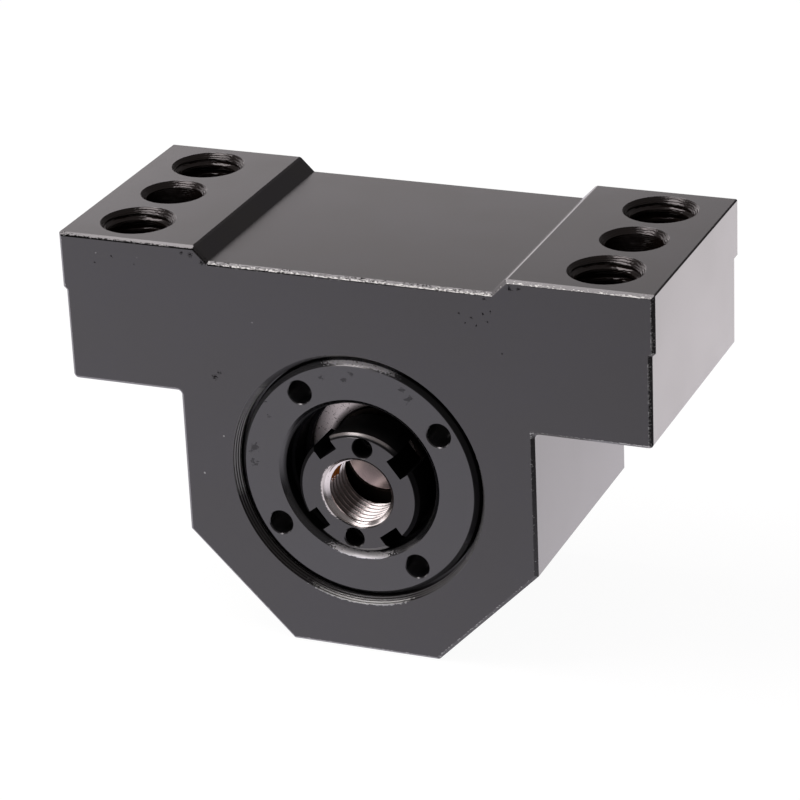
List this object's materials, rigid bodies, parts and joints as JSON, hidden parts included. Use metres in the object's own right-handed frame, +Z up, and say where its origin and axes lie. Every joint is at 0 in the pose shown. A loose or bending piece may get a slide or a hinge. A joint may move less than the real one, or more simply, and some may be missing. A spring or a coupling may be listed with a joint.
{
  "type": "pillow block bearing",
  "caption": "Blackened steel pillow block for a screw end: two mounting pads, threaded retaining ring, double-row ball bearing and a loose slotted nut.",
  "frame": {"origin": "centre of the nose face that the block stands on, under the middle of its depth", "axes": "+X across the two ears, +Y along the bore from the front (ring side) to the rear, +Z up from the nose to the mounting pads"},
  "size_m": [0.126, 0.055, 0.085],
  "materials": {
    "black_oxide_housing": "black oxide over milled and ground faces, satin",
    "black_oxide_ring": "black oxide over a turned face, satin",
    "black_oxide_nut": "black oxide, with a bare cut thread",
    "black_screw": "blackened alloy steel",
    "ground_bearing_steel": "fine ground",
    "polished_ball_steel": "polished",
    "moulded_cage": "moulded polyamide",
    "zinc_shield": "bright sheet steel with fine dark specks"
  },
  "bodies": {
    "housing": {"housing": "black_oxide_housing", "threaded_ring": "black_oxide_ring", "lock_nut": "black_oxide_nut", "set_screw_top": "black_screw", "set_screw_bottom": "black_screw", "outer_ring": "ground_bearing_steel", "shield_front": "zinc_shield", "shield_rear": "zinc_shield"},
    "inner_ring": {"inner_ring_front": "ground_bearing_steel", "inner_ring_rear": "ground_bearing_steel"},
    "ball_row_front": {"cage_front": "moulded_cage", "ball_front_01": "polished_ball_steel", "ball_front_02": "polished_ball_steel", "ball_front_03": "polished_ball_steel", "ball_front_04": "polished_ball_steel", "ball_front_05": "polished_ball_steel", "ball_front_06": "polished_ball_steel", "ball_front_07": "polished_ball_steel", "ball_front_08": "polished_ball_steel", "ball_front_09": "polished_ball_steel", "ball_front_10": "polished_ball_steel", "ball_front_11": "polished_ball_steel", "ball_front_12": "polished_ball_steel", "ball_front_13": "polished_ball_steel", "ball_front_14": "polished_ball_steel"},
    "ball_row_rear": {"cage_rear": "moulded_cage", "ball_rear_01": "polished_ball_steel", "ball_rear_02": "polished_ball_steel", "ball_rear_03": "polished_ball_steel", "ball_rear_04": "polished_ball_steel", "ball_rear_05": "polished_ball_steel", "ball_rear_06": "polished_ball_steel", "ball_rear_07": "polished_ball_steel", "ball_rear_08": "polished_ball_steel", "ball_rear_09": "polished_ball_steel", "ball_rear_10": "polished_ball_steel", "ball_rear_11": "polished_ball_steel", "ball_rear_12": "polished_ball_steel", "ball_rear_13": "polished_ball_steel", "ball_rear_14": "polished_ball_steel"}
  },
  "joints": [
    {"name": "shaft_spin", "type": "hinge", "parent": "housing", "child": "inner_ring", "pos_m": [0, -0.002, 0.038], "axis": [0, 1, 0], "continuous": true},
    {"name": "row_spin_front", "type": "hinge", "parent": "housing", "child": "ball_row_front", "pos_m": [0, -0.002, 0.038], "axis": [0, 1, 0], "continuous": true},
    {"name": "row_spin_rear", "type": "hinge", "parent": "housing", "child": "ball_row_rear", "pos_m": [0, -0.002, 0.038], "axis": [0, 1, 0], "continuous": true}
  ],
  "couplings": [
    {"joint": "row_spin_front", "follows": "shaft_spin", "ratio": 0.4542},
    {"joint": "row_spin_rear", "follows": "shaft_spin", "ratio": 0.4542}
  ]
}
